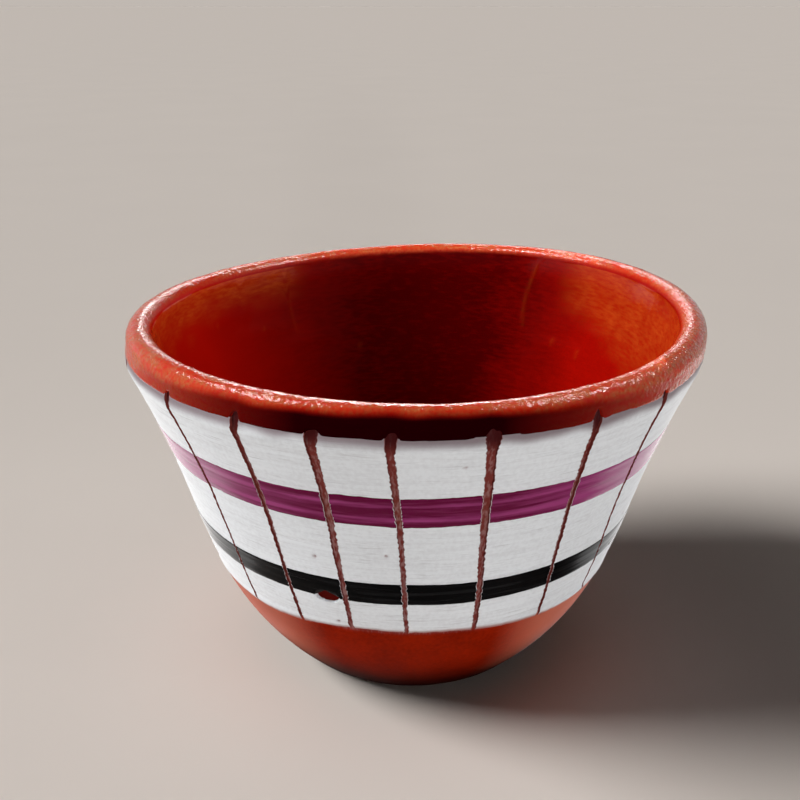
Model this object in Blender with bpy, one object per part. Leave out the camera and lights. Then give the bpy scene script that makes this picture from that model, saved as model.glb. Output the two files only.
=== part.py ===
"""Small hand-thrown coffee cup in red earthenware, with no handle.

The fired clay carries its coats, and each coat is a solid of its own: a red glaze over the inside and
the lip, a white slip round the outside, and a purple and a black stripe painted on the slip. Lines are
scratched through paint and slip down to the clay, so each stripe is cut into short lengths, while the
slip still hangs together below the lines.

Metres, +Z up. The origin is the centre of the foot, on the table, and the front of the cup faces -Y.
"""

import math

import bmesh
import bpy

# Finished outside of the cup, coats included
HEIGHT = 0.050
RIM_RADIUS = 0.0379
FOOT_RADIUS = 0.0142
FOOT_EDGE_RADIUS = 0.006
FOOT_WALL_ANGLE = math.radians(45)
WAIST_HEIGHT = 0.028
WAIST_RADIUS = 0.0317
SHOULDER_DROP = 0.005
SHOULDER_INSET = 0.00015

# Outward run of the wall for each unit of rise
WAIST_SLOPE = 0.285
SHOULDER_SLOPE = 0.44

# Finished wall and floor, coats included
WALL = 0.0034
FLOOR = 0.005
FLOOR_ROUNDING = 0.006
FLOOR_SQUARENESS = 4

# Coats, and the clearance that each keeps to what it lies on or ends against
SLIP_UNDER_PAINT = 0.0003
PAINT_THICKNESS = 0.0002
GLAZE_THICKNESS = 0.0004
COAT_GAP = 0.0003

# Decoration: the bands without slip, and the stripes' middles as shares of the slip's height
RIM_BAND = 0.0034
FOOT_BAND = 0.0165
PURPLE_WIDTH = 0.0043
PURPLE_MIDDLE = 0.66
BLACK_WIDTH = 0.0033
BLACK_MIDDLE = 0.235

# Scratched lines: degrees from the front towards +X at the top and at the foot of the slip, and degrees
# from the outermost of these to the nearest lines of the back
LINE_WIDTH = 0.0009
LINE_END = 0.0008
FRONT_LINES = ((-47, -46), (-31, -29.5), (-16.5, -16), (-3.5, -2), (12.5, 15.5), (31, 34.5), (48.5, 48.5))
BACK_LINE_COUNT = 16
BACK_LINES_APART = 22

# Finishes: sRGB colour and roughness
RED_CLAY = ("9C4426", 0.45)
RED_GLAZE = ("8A2410", 0.12)
WHITE_SLIP = ("E2DFDB", 0.35)
PURPLE_PAINT = ("741F58", 0.30)
BLACK_PAINT = ("17181B", 0.25)

# Counts of facets round the cup, along each length of stripe and up each stretch of its section
AROUND_COUNT = 64
LENGTH_COUNT = 3
FOOT_EDGE_COUNT = 3
FOOT_BAND_COUNT = 4
SLIP_SEAT_COUNT = 7
BETWEEN_STRIPES_COUNT = 2
ABOVE_STRIPES_COUNT = 3
RIM_BAND_COUNT = 2
LIP_COUNT = 6
INSIDE_WALL_COUNT = 6
INSIDE_FLOOR_COUNT = 5
SMOOTH_ANGLE = math.radians(40)
MERGE_DISTANCE = 1e-6

# Heights and depths worked out from the sizes above
LIP_HEIGHT = HEIGHT - WALL / 2
FOOT_EDGE_TOP = FOOT_EDGE_RADIUS * (1 - math.cos(FOOT_WALL_ANGLE))
SLIP_BOTTOM = FOOT_BAND
SLIP_TOP = HEIGHT - RIM_BAND
PAINT_SEAT = PAINT_THICKNESS + COAT_GAP
SLIP_THICKNESS = PAINT_SEAT + SLIP_UNDER_PAINT

# Stations of the outside curve: height, radius and slope
FOOT_STATION = (
    FOOT_EDGE_TOP,
    FOOT_RADIUS + FOOT_EDGE_RADIUS * math.sin(FOOT_WALL_ANGLE),
    1 / math.tan(FOOT_WALL_ANGLE),
)
WAIST_STATION = (WAIST_HEIGHT, WAIST_RADIUS, WAIST_SLOPE)
SHOULDER_STATION = (HEIGHT - SHOULDER_DROP, RIM_RADIUS - SHOULDER_INSET, SHOULDER_SLOPE)
LIP_STATION = (LIP_HEIGHT, RIM_RADIUS, 0.0)


def cubic(height, start, end):
    """Radius and slope at a height on the cubic that joins two stations."""
    low, low_radius, low_slope = start
    high, high_radius, high_slope = end
    rise = high - low
    run = high_radius - low_radius
    share = (height - low) / rise
    low_pull = low_slope * rise - run
    high_pull = run - high_slope * rise
    pull = (1 - share) * low_pull + share * high_pull
    radius = low_radius + share * run + share * (1 - share) * pull
    slope = (run + (1 - 2 * share) * pull + share * (1 - share) * (high_pull - low_pull)) / rise
    return radius, slope


def outside(height):
    """Radius and slope of the finished outside at a height above the foot's round edge."""
    if height < WAIST_STATION[0]:
        return cubic(height, FOOT_STATION, WAIST_STATION)
    if height < SHOULDER_STATION[0]:
        return cubic(height, WAIST_STATION, SHOULDER_STATION)
    return cubic(height, SHOULDER_STATION, LIP_STATION)


def outside_radius(height, depth):
    """Radius at a depth into the wall, measured square to the finished outside."""
    radius, slope = outside(height)
    return radius - depth * math.hypot(1, slope)


def spaced(first, last, steps):
    """Evenly spaced values from first to last, both included."""
    return [first + (last - first) * step / steps for step in range(steps + 1)]


def foot_edge():
    """Points of the flat foot and its round edge, from the axis outwards."""
    points = [(0.0, 0.0)]
    for angle in spaced(0, FOOT_WALL_ANGLE, FOOT_EDGE_COUNT):
        radius = FOOT_RADIUS + FOOT_EDGE_RADIUS * math.sin(angle)
        points.append((radius, FOOT_EDGE_RADIUS * (1 - math.cos(angle))))
    return points


def outer_wall(depth, low, high, steps):
    """Points up the outside, at a depth under the finished surface."""
    return [(outside_radius(height, depth), height) for height in spaced(low, high, steps)]


def lip(depth):
    """Points over the round lip, from the outside to the inside, at a depth under its surface."""
    round_radius = WALL / 2 - depth
    points = []
    for angle in spaced(0, math.pi, LIP_COUNT):
        radius = RIM_RADIUS - WALL / 2 + round_radius * math.cos(angle)
        points.append((radius, LIP_HEIGHT + round_radius * math.sin(angle)))
    return points


def inside(depth):
    """Points down the inner wall and over the rounded floor to the axis, at a depth under the surface."""
    floor_edge = FLOOR + FLOOR_ROUNDING
    inset = WALL - depth
    points = outer_wall(inset, LIP_HEIGHT, floor_edge, INSIDE_WALL_COUNT)
    power = 2 / FLOOR_SQUARENESS
    for angle in spaced(math.pi / 2, 0, INSIDE_FLOOR_COUNT)[1:]:
        height = floor_edge - (FLOOR_ROUNDING + depth) * math.cos(angle) ** power
        points.append((outside_radius(height, inset) * math.sin(angle) ** power, height))
    points[-1] = (0.0, FLOOR - depth)
    return points


def line_angle(line, height):
    """Angle of a scratched line at a height, in radians."""
    share = (height - SLIP_BOTTOM) / (SLIP_TOP - SLIP_BOTTOM)
    top, foot = line
    return math.radians(foot + (top - foot) * share)


def all_lines():
    """The front's lines, and evenly spaced ones round the back."""
    first_top, first_foot = FRONT_LINES[0]
    last_top, last_foot = FRONT_LINES[-1]
    turn = 360 - BACK_LINES_APART
    tops = spaced(last_top + BACK_LINES_APART, first_top + turn, BACK_LINE_COUNT - 1)
    feet = spaced(last_foot + BACK_LINES_APART, first_foot + turn, BACK_LINE_COUNT - 1)
    return list(FRONT_LINES) + list(zip(tops, feet))


def length_angles(lines, index, height):
    """Angles across the stretch between a line and the next one, clear of both lines' widths."""
    half_line = LINE_WIDTH / 2 / outside_radius(height, 0)
    following = (index + 1) % len(lines)
    left = line_angle(lines[index], height) + half_line
    right = line_angle(lines[following], height) - half_line
    if following == 0:
        right += 2 * math.pi
    return spaced(left, right, LENGTH_COUNT)


def linear(channel):
    """Linear value of an sRGB channel from 0 to 255."""
    share = channel / 255
    if share <= 0.04045:
        return share / 12.92
    return ((share + 0.055) / 1.055) ** 2.4


def finish(name, colour, roughness):
    """A material with an sRGB hex colour."""
    material = bpy.data.materials.new(name)
    material.use_nodes = True
    shader = material.node_tree.nodes["Principled BSDF"]
    channels = [linear(int(colour[start:start + 2], 16)) for start in (0, 2, 4)]
    shader.inputs["Base Color"].default_value = (*channels, 1.0)
    shader.inputs["Roughness"].default_value = roughness
    shader.inputs["Metallic"].default_value = 0.0
    return material


def add_object(name, shape, material, parent):
    """Turns a bmesh into a named object with outward faces, smooth over its round stretches."""
    bmesh.ops.remove_doubles(shape, verts=shape.verts, dist=MERGE_DISTANCE)
    bmesh.ops.recalc_face_normals(shape, faces=shape.faces)
    mesh = bpy.data.meshes.new(name)
    shape.to_mesh(mesh)
    shape.free()
    mesh.shade_smooth()
    mesh.set_sharp_from_angle(angle=SMOOTH_ANGLE)
    mesh.materials.append(material)
    piece = bpy.data.objects.new(name, mesh)
    piece.parent = parent
    bpy.context.collection.objects.link(piece)


def turned(name, section, material, parent):
    """A solid of revolution, from a section that starts and ends on the axis."""
    shape = bmesh.new()
    verts = [shape.verts.new((radius, 0.0, height)) for radius, height in section]
    edges = [shape.edges.new(pair) for pair in zip(verts, verts[1:])]
    bmesh.ops.spin(
        shape,
        geom=verts + edges,
        cent=(0, 0, 0),
        axis=(0, 0, 1),
        angle=2 * math.pi,
        steps=AROUND_COUNT,
        use_merge=True,
    )
    add_object(name, shape, material, parent)


def coat(name, rows, cells, under_depth, material, parent):
    """A thin coat that follows the wall, extruded inwards from its outer face to a depth in the wall.

    Each row is a height, the outer face's depth there and its angles. Each cell is a row with a column
    and the column after it.
    """
    shape = bmesh.new()
    grid = []
    for height, depth, angles in rows:
        radius = outside_radius(height, depth)
        grid.append([
            shape.verts.new((radius * math.sin(angle), -radius * math.cos(angle), height))
            for angle in angles
        ])
    for row, column, after in cells:
        lower = grid[row]
        upper = grid[row + 1]
        shape.faces.new((lower[column], lower[after], upper[after], upper[column]))
    extruded = bmesh.ops.extrude_face_region(shape, geom=shape.faces[:])
    for element in extruded["geom"]:
        if isinstance(element, bmesh.types.BMVert):
            element.co.xy *= outside_radius(element.co.z, under_depth) / element.co.xy.length
    add_object(name, shape, material, parent)


def make_clay_body(parent):
    """The thrown clay, set back under the slip and under the glaze so that the coats lie flush."""
    slip_seat = SLIP_THICKNESS + COAT_GAP
    glaze_seat = GLAZE_THICKNESS + COAT_GAP
    ledge = SLIP_BOTTOM - COAT_GAP
    seam = SLIP_TOP + COAT_GAP / 2
    section = (
        foot_edge()
        + outer_wall(0, FOOT_EDGE_TOP, ledge, FOOT_BAND_COUNT)[1:]
        + outer_wall(slip_seat, ledge, seam, SLIP_SEAT_COUNT)
        + outer_wall(glaze_seat, seam, LIP_HEIGHT, RIM_BAND_COUNT)
        + lip(glaze_seat)[1:]
        + inside(glaze_seat)[1:]
    )
    turned("clay_body", section, finish("red_clay", *RED_CLAY), parent)


def make_glaze_lining(parent):
    """The red glaze over the inside and the lip, down to the slip's top edge."""
    edge = SLIP_TOP + COAT_GAP
    face = outer_wall(0, edge, LIP_HEIGHT, RIM_BAND_COUNT) + lip(0)[1:] + inside(0)[1:]
    under = (
        outer_wall(GLAZE_THICKNESS, edge, LIP_HEIGHT, RIM_BAND_COUNT)
        + lip(GLAZE_THICKNESS)[1:]
        + inside(GLAZE_THICKNESS)[1:]
    )
    section = face[::-1] + under
    turned("red_glaze_lining", section, finish("red_glaze", *RED_GLAZE), parent)


def stripe_edges(middle, width):
    """Heights of a stripe's lower and upper edge."""
    centre = SLIP_BOTTOM + middle * (SLIP_TOP - SLIP_BOTTOM)
    return centre - width / 2, centre + width / 2


def paint_seat(middle, width):
    """Heights and depths of the shallow seat in the slip, with sloping ends, that holds a stripe flush."""
    low, high = stripe_edges(middle, width)
    near = COAT_GAP / 2
    far = near + COAT_GAP
    return [(low - far, 0), (low - near, PAINT_SEAT), (high + near, PAINT_SEAT), (high + far, 0)]


def make_slip_coat(lines, parent):
    """The white slip, whole along its foot and parted above by the scratched lines."""
    black_seat = paint_seat(BLACK_MIDDLE, BLACK_WIDTH)
    purple_seat = paint_seat(PURPLE_MIDDLE, PURPLE_WIDTH)
    between = spaced(black_seat[-1][0], purple_seat[0][0], BETWEEN_STRIPES_COUNT)[1:-1]
    above = spaced(purple_seat[-1][0], SLIP_TOP, ABOVE_STRIPES_COUNT)[1:]
    outline = [(SLIP_BOTTOM, 0), (SLIP_BOTTOM + LINE_END, 0)]
    outline += black_seat
    outline += [(height, 0) for height in between]
    outline += purple_seat
    outline += [(height, 0) for height in above]
    rows = []
    for height, depth in outline:
        angles = []
        for index in range(len(lines)):
            angles += length_angles(lines, index, height)
        rows.append((height, depth, angles))
    columns = LENGTH_COUNT + 1
    around = len(lines) * columns
    cells = []
    for row in range(len(rows) - 1):
        for column in range(around):
            in_line = column % columns == LENGTH_COUNT
            if row == 0 or not in_line:
                cells.append((row, column, (column + 1) % around))
    coat("white_slip_coat", rows, cells, SLIP_THICKNESS, finish("white_slip", *WHITE_SLIP), parent)


def make_stripe(name, lines, middle, width, material, parent):
    """One painted stripe, as the lengths that the scratched lines leave."""
    cells = [(0, column, column + 1) for column in range(LENGTH_COUNT)]
    for index in range(len(lines)):
        rows = [
            (height, 0, length_angles(lines, index, height))
            for height in stripe_edges(middle, width)
        ]
        coat(f"{name}_{index + 1:02d}", rows, cells, PAINT_THICKNESS, material, parent)


def main():
    for old in list(bpy.data.objects):
        bpy.data.objects.remove(old)
    cup = bpy.data.objects.new("coffee_cup", None)
    bpy.context.collection.objects.link(cup)
    lines = all_lines()
    make_clay_body(cup)
    make_glaze_lining(cup)
    make_slip_coat(lines, cup)
    purple = finish("purple_paint", *PURPLE_PAINT)
    black = finish("black_paint", *BLACK_PAINT)
    make_stripe("purple_stripe", lines, PURPLE_MIDDLE, PURPLE_WIDTH, purple, cup)
    make_stripe("black_stripe", lines, BLACK_MIDDLE, BLACK_WIDTH, black, cup)


main()
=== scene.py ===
"""Looks of a small hand-thrown coffee cup: clay, glaze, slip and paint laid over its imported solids.

Laid out as a Blender add-on and run as a script. Metres, +Z up, in the frame of the solids: the front of
the cup faces -Y, and an angle round the cup counts from the front towards +X.
"""

import math

import bpy
import numpy as np
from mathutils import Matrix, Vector


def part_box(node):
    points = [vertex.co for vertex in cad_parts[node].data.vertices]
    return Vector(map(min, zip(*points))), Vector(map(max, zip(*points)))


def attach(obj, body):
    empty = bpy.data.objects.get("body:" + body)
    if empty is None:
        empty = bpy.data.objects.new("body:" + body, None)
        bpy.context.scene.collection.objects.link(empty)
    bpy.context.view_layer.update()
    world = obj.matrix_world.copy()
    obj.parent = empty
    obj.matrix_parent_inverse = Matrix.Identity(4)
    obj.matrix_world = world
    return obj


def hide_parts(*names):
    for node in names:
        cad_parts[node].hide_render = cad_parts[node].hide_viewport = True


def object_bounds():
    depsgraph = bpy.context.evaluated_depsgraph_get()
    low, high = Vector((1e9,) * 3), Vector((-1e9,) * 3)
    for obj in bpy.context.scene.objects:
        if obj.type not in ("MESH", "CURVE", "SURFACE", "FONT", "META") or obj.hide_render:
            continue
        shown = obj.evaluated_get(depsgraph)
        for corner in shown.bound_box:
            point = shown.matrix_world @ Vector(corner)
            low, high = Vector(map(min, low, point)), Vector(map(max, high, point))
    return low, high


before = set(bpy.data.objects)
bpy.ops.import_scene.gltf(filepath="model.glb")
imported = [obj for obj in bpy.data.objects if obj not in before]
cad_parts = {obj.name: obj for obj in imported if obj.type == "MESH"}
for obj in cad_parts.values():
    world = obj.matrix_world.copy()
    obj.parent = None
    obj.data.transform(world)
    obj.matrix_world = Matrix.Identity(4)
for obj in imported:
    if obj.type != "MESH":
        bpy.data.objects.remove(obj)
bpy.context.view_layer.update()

bl_info = {
    "name": "Hand-thrown coffee cup",
    "version": (1, 0, 0),
    "blender": (4, 5, 0),
    "location": "3D View > Sidebar > Cup",
    "description": "Builds the coats of a red earthenware coffee cup over its solids",
    "category": "Add Mesh",
}

MM = 0.001
TURN = 2 * math.pi

# Heights, radius and count that the solids give
RIM_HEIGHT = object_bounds()[1].z
RIM_RADIUS = (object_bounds()[1].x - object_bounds()[0].x) / 2
SLIP_LOW, SLIP_HIGH = (corner.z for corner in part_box("white_slip_coat"))
PURPLE_LOW, PURPLE_HIGH = (corner.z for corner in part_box("purple_stripe_01"))
BLACK_LOW, BLACK_HIGH = (corner.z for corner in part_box("black_stripe_01"))
LINE_COUNT = sum(name.startswith("purple_stripe_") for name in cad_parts)

# Angle of the wall above the foot, and its slopes further up as outward run for each unit of rise
FOOT_WALL_ANGLE = math.radians(45)
WAIST_SLOPE = 0.285
SHOULDER_SLOPE = 0.44
LIP_INNER_SLOPE = 0.25

# Angles round the lip at which its inner side starts and at which it meets the inner wall
LIP_INNER_START = math.radians(122)
LIP_INNER_TURN = math.pi - math.atan(LIP_INNER_SLOPE)

# Power of the round between inner wall and floor
FLOOR_SQUARENESS = 4

# The hand-made lip isn't level: for each number of waves round it, the cosine and the sine part
RIM_WAVES = ((0, -0.07 * MM, 0.0), (1, 0.03 * MM, 0.70 * MM), (2, -0.22 * MM, -0.38 * MM))
RIM_LIFT_FROM = 43 * MM
RIM_LIFT_TO = 48 * MM

# Nor is it centred: it stands a little aside, towards +X
RIM_ASIDE = 0.30 * MM
RIM_ASIDE_FROM = 44.5 * MM
RIM_ASIDE_TO = 48.5 * MM

# Chip at the foot of the black stripe: angle, height, half length and half height
CHIP = (math.radians(-19.5), 21.95 * MM, 1.5 * MM, 0.9 * MM)

# How far the chip's colour spreads in the clay, and how far a rim of slip reaches to both sides of its edge
CHIP_SURROUND = 0.5 * MM
CHIP_RIM = 0.12 * MM

# Pinholes that show in the slip at the front: angle in degrees, height and radius
FRONT_PINHOLES = (
    (-20.5, 28.3 * MM, 0.20 * MM),
    (-5.1, 29.7 * MM, 0.16 * MM),
    (-17.9, 17.8 * MM, 0.18 * MM),
    (8.7, 42.8 * MM, 0.14 * MM),
)
OTHER_PINHOLES = 30

# Runs of glaze down the inner wall: angle in degrees, lower end and half width
GLAZE_RUNS = (
    (-143.4, 37.7 * MM, 0.38 * MM),
    (145.5, 38.7 * MM, 0.38 * MM),
    (62.0, 36.0 * MM, 0.65 * MM),
    (-38.0, 41.0 * MM, 0.60 * MM),
)

# Specks in the glaze of the inner wall: angle in degrees, height and radius
GLAZE_SPECKS = (
    (134.5, 37.4 * MM, 0.38 * MM),
    (124.6, 36.7 * MM, 0.38 * MM),
    (-132.2, 39.4 * MM, 0.38 * MM),
    (-115.7, 42.1 * MM, 0.38 * MM),
    (-163.1, 34.2 * MM, 0.38 * MM),
    (20.0, 33.0 * MM, 0.38 * MM),
    (-65.0, 38.5 * MM, 0.38 * MM),
)

# Painted shade inside the bowl, partly thick glaze, is darkest round this angle; the glaze shines by these
# levels on the lip and deep inside
GLAZE_MIDDLE = math.radians(174)
LIP_SHINE = 0.5
INNER_SHINE = 0.04

# Rows and columns of the grids
CLAY_COLUMNS = 400
CLAY_WALL_ROWS = 118
LINING_COLUMNS = 460
LINING_WALL_ROWS = 62
SLIP_COLUMNS = 52
SLIP_ROWS = 170
PAINT_COLUMNS = 60
PAINT_UNDER_STEP = 8
PURPLE_ROWS = 28
BLACK_ROWS = 24

# Reach of the close columns of the lining at each line's top, and how far the even ones stay from it
NOTCH_COLUMNS = 13
NOTCH_REACH = 1.1 * MM
NOTCH_CLEAR = 1.25 * MM

# How deep the hidden under faces of slip and paint sink into what carries them
SLIP_SINK = 0.08 * MM
PAINT_SINK = 0.06 * MM

# Seeds of the random draws
SEED_LINES = 11
SEED_PINHOLES = 23
SEED_BRUSH = 31
SEED_EDGES = 47
SEED_GLAZE = 59
SEED_CLAY = 71


def linear(colour):
    """Linear red, green and blue of an sRGB hex colour."""
    channels = np.array([int(colour[start:start + 2], 16) for start in (0, 2, 4)]) / 255
    return tuple(np.where(channels <= 0.04045, channels / 12.92, ((channels + 0.055) / 1.055) ** 2.4))


def length(name, description, default):
    """A length in metres that a user can change."""
    return bpy.props.FloatProperty(
        name=name, description=description, default=default, min=0.0, precision=5, unit="LENGTH"
    )


def colour(name, description, default):
    """A colour that a user can change, from its sRGB hex value."""
    return bpy.props.FloatVectorProperty(
        name=name, description=description, default=linear(default), min=0.0, max=1.0, subtype="COLOR"
    )


class CupSizes(bpy.types.PropertyGroup):
    """Sizes of the cup and of its coats."""

    height: length("Height", "Mean height of the lip above the table", RIM_HEIGHT)
    rim_radius: length("Rim radius", "Outer radius of the lip", 37.9 * MM)
    foot_radius: length("Foot radius", "Radius of the flat foot", 14.2 * MM)
    foot_edge: length("Foot edge", "Radius of the round edge of the foot", 6.0 * MM)
    waist_height: length("Waist height", "Height of the waist station of the wall", 28.0 * MM)
    waist_radius: length("Waist radius", "Radius of the wall at the waist", 31.7 * MM)
    shoulder_drop: length("Shoulder drop", "How far below the lip the shoulder station lies", 5.0 * MM)
    shoulder_inset: length("Shoulder inset", "How far inside the rim radius the shoulder lies", 0.15 * MM)
    wall: length("Wall", "Thickness of the finished wall", 3.4 * MM)
    floor: length("Floor", "Thickness of the floor", 5.0 * MM)
    floor_rounding: length("Floor rounding", "Height of the round between floor and wall", 6.0 * MM)
    slip: length("Slip", "Thickness of the white slip", 0.30 * MM)
    paint: length("Paint", "How far the painted stripes stand proud of the slip", 0.04 * MM)
    glaze: length("Glaze", "Thickness of the red glaze", 0.40 * MM)
    line_foot: length("Line at the foot", "Width of a scratched line at the foot of the slip", 0.50 * MM)
    line_top: length("Line at the top", "Width of a scratched line below its blunt top", 1.05 * MM)
    line_blob: length("Line's blunt top", "Extra width where the tool went in", 0.40 * MM)


class CupColours(bpy.types.PropertyGroup):
    """Colours of the cup and of the table."""

    clay: colour("Clay", "Fired red clay under clear glaze", "861900")
    # Painted sheen: paler clay at both sides of the foot stands in for the glaze mirroring bright
    # surroundings at a glancing view
    clay_pale: colour("Pale clay", "Clay at the foot's sides, where the clear glaze is thin", "C46E58")
    clay_dark: colour("Dark clay", "Darker patches of the clay", "5C0C00")
    # Painted shade: the clay turns near black round the foot, where the contact shadow falls
    clay_low: colour("Low clay", "Clay that the fire darkened round the foot", "1C0200")
    scratch: colour("Scratch", "Clay in the scratched lines and the pinholes", "73332E")
    scratch_dark: colour("Dark scratch", "Clay at the blunt tops of the scratched lines", "380E11")
    scratch_smear: colour("Smear", "Slip smeared into the scratched lines", "AC8C8A")
    chip: colour("Chip", "Clay in the chip", "4A0804")
    glaze: colour("Red glaze", "Red glaze", "C41004")
    # Partly painted light: the paler glaze high on the inner flanks; thin glaze on the runs and specks
    glaze_thin_and_painted_light: colour("Thin glaze", "Red glaze where it ran thin, on the lip and under it", "DE6420")
    glaze_worn: colour("Worn glaze", "Red glaze rubbed brown on the lip and the band below it", "B4552C")
    # Painted shade, partly thick glaze: the dark red deep in the bowl
    glaze_shade_and_pooling: colour("Deep glaze", "Red glaze where it is thick", "470001")
    # Partly painted shade: the near-black band below the lip, darkest at the front
    glaze_dark_band_and_shade: colour("Burnt glaze", "Red glaze where iron has blackened it below the lip", "1E0002")
    slip: colour("Slip", "White slip", "DADEE2")
    slip_shade: colour("Brush shade", "White slip in the troughs of the brush marks", "CFD2D6")
    slip_line: colour("Brush line", "Grey hair lines that the brush left in the slip", "A3A3A6")
    slip_thin: colour("Thin slip", "Clay showing through at the slip's foot", "96655E")
    # Partly painted shade: the slip's top darkens under the overhang of the lip
    slip_grime: colour("Grime", "Dark wash over the slip below the red glaze", "705C62")
    purple: colour("Purple", "Purple underglaze", "5A0230")
    # Partly painted sheen: also the pale purple towards the cup's sides
    purple_light: colour("Light purple", "Thin streaks in the purple", "90366C")
    black: colour("Black", "Black underglaze", "030304")
    table: colour("Table", "Pale table top", "DCD3CB")
    backdrop: colour("Backdrop", "Pale surroundings", "C0B8B1")


def sizes():
    """The cup's sizes in this scene."""
    return bpy.context.scene.cup_sizes


def colours():
    """The cup's colours in this scene, each as red, green, blue and full alpha."""
    group = bpy.context.scene.cup_colours
    return {name: (*getattr(group, name), 1.0) for name in CupColours.__annotations__}


def smooth(value, low, high):
    """A cubic step: 0 up to low, 1 from high on."""
    share = np.clip((value - low) / (high - low), 0.0, 1.0)
    return share * share * (3 - 2 * share)


def turn_between(angle, other):
    """The shorter way round from one angle to another, between minus and plus half a turn."""
    return (angle - other + math.pi) % TURN - math.pi


def lumps(angle, height, across, up, seed):
    """Value noise on the wall, from -1 to 1.

    Random levels stand on a net of cells, across by up in metres at the rim, that closes round the cup.
    Between the levels the value follows a cubic step.
    """
    columns = max(3, round(TURN * RIM_RADIUS / across))
    rows = 257
    levels = np.random.default_rng(seed).uniform(-1.0, 1.0, (rows, columns))
    column = angle / TURN % 1.0 * columns
    row = height / up + rows / 2
    left = np.floor(column).astype(int)
    below = np.floor(row).astype(int)
    aside = smooth(column - left, 0.0, 1.0)
    above = smooth(row - below, 0.0, 1.0)
    lower = below % rows
    upper = (below + 1) % rows
    near = left % columns
    far = (left + 1) % columns
    low = levels[lower, near] * (1 - aside) + levels[lower, far] * aside
    high = levels[upper, near] * (1 - aside) + levels[upper, far] * aside
    return low * (1 - above) + high * above


def cubic(height, start, end):
    """Radius and slope at a height on the cubic that joins two stations of height, radius and slope."""
    low, low_radius, low_slope = start
    high, high_radius, high_slope = end
    rise = high - low
    run = high_radius - low_radius
    share = (height - low) / rise
    low_pull = low_slope * rise - run
    high_pull = run - high_slope * rise
    pull = (1 - share) * low_pull + share * high_pull
    radius = low_radius + share * run + share * (1 - share) * pull
    slope = (run + (1 - 2 * share) * pull + share * (1 - share) * (high_pull - low_pull)) / rise
    return radius, slope


def lip_height():
    """Height of the middle of the round lip."""
    return sizes().height - sizes().wall / 2


def foot_edge_top():
    """Height at which the round edge of the foot runs into the wall."""
    return sizes().foot_edge * (1 - math.cos(FOOT_WALL_ANGLE))


def outside(height):
    """Radius and slope of the finished outside: three cubics through foot, waist, shoulder and lip."""
    cup = sizes()
    foot_radius = cup.foot_radius + cup.foot_edge * math.sin(FOOT_WALL_ANGLE)
    foot = (foot_edge_top(), foot_radius, 1 / math.tan(FOOT_WALL_ANGLE))
    waist = (cup.waist_height, cup.waist_radius, WAIST_SLOPE)
    shoulder = (cup.height - cup.shoulder_drop, cup.rim_radius - cup.shoulder_inset, SHOULDER_SLOPE)
    lip = (lip_height(), cup.rim_radius, 0.0)
    height = np.clip(height, foot[0], lip[0])
    lower = cubic(height, foot, waist)
    middle = cubic(height, waist, shoulder)
    upper = cubic(height, shoulder, lip)
    cases = [height < waist[0], height < shoulder[0]]
    radius = np.select(cases, [lower[0], middle[0]], upper[0])
    slope = np.select(cases, [lower[1], middle[1]], upper[1])
    return radius, slope


def rim_lift(angle, height):
    """How far the uneven lip lifts the wall: a few waves round the cup that fade out below the rim band."""
    lift = sum(c * np.cos(waves * angle) + s * np.sin(waves * angle) for waves, c, s in RIM_WAVES)
    return lift * smooth(height, RIM_LIFT_FROM, RIM_LIFT_TO)


def round_cup(angle, radius, height):
    """Points at an angle, radius and height, moved up and aside with the lip."""
    lifted = height + rim_lift(angle, height)
    aside = RIM_ASIDE * smooth(height, RIM_ASIDE_FROM, RIM_ASIDE_TO)
    return np.stack((radius * np.sin(angle) + aside, -radius * np.cos(angle), lifted), axis=-1)


def radius_under(height, depth):
    """Radius of the wall at a height, at a depth square under the finished outside."""
    radius, slope = outside(height)
    return radius - depth * np.hypot(1.0, slope)


def on_wall(angle, height, depth):
    """Points of the wall at a depth square under the finished outside."""
    return round_cup(angle, radius_under(height, depth), height)


def lip_section(arc, depth):
    """Radius and height of the round lip at angles round it, from its outer side, at a depth under it."""
    cup = sizes()
    lip_round = cup.wall / 2 - depth
    radius = cup.rim_radius - cup.wall / 2 + lip_round * np.cos(arc)
    return radius, lip_height() + lip_round * np.sin(arc)


def stripe_ends(colour_name, upper):
    """Angles of both ends of each length of a stripe, along the upper or lower edge of its solids."""
    ends = []
    for index in range(LINE_COUNT):
        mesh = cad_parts[f"{colour_name}_stripe_{index + 1:02d}"].data
        points = np.empty(len(mesh.vertices) * 3)
        mesh.vertices.foreach_get("co", points)
        points = points.reshape(-1, 3)
        middle_height = (points[:, 2].min() + points[:, 2].max()) / 2
        points = points[(points[:, 2] > middle_height) == upper]
        angle = np.arctan2(points[:, 0], -points[:, 1])
        centre = math.atan2(points[:, 0].sum(), -points[:, 1].sum())
        apart = turn_between(angle, centre)
        ends.append((centre + apart.min(), centre + apart.max()))
    return np.array(ends)


def line_middles(ends):
    """Angle of each scratched line, half way from the end of one length to the start of the next."""
    before = np.roll(ends[:, 1], 1)
    return before + turn_between(ends[:, 0], before) / 2


TOP_MIDDLES = line_middles(stripe_ends("purple", True))
FOOT_MIDDLES = line_middles(stripe_ends("black", False))

# How far the seven front lines turn from those of the solids, in degrees: at the top and at the foot
TOP_TURNS = (0.8, 1.0, 0.7, 0.4, 0.05, -0.3, 0.25)
FOOT_TURNS = (1.5, 0.9, 1.1, 0.9, 0.2, -0.4, 2.4)
TOP_MIDDLES[:len(TOP_TURNS)] += np.radians(TOP_TURNS)
FOOT_MIDDLES[:len(FOOT_TURNS)] += np.radians(FOOT_TURNS)

# Widths of the lines that show at the front, from left to right, as shares of the usual width
FRONT_LINE_WIDTHS = (0.65, 0.8, 1.05, 0.85, 1.1, 0.8, 0.7)

# How far slip is smeared into each of those lines, from 0 to 1
FRONT_LINE_SMEARS = (1.0, 0.2, 0.2, 0.15, 0.15, 0.35, 0.95)

# The two lines next to those, one at each side: narrow, smeared over and nearly without a blunt top
SIDE_LINES = [len(FRONT_LINE_WIDTHS), -1]

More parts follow.
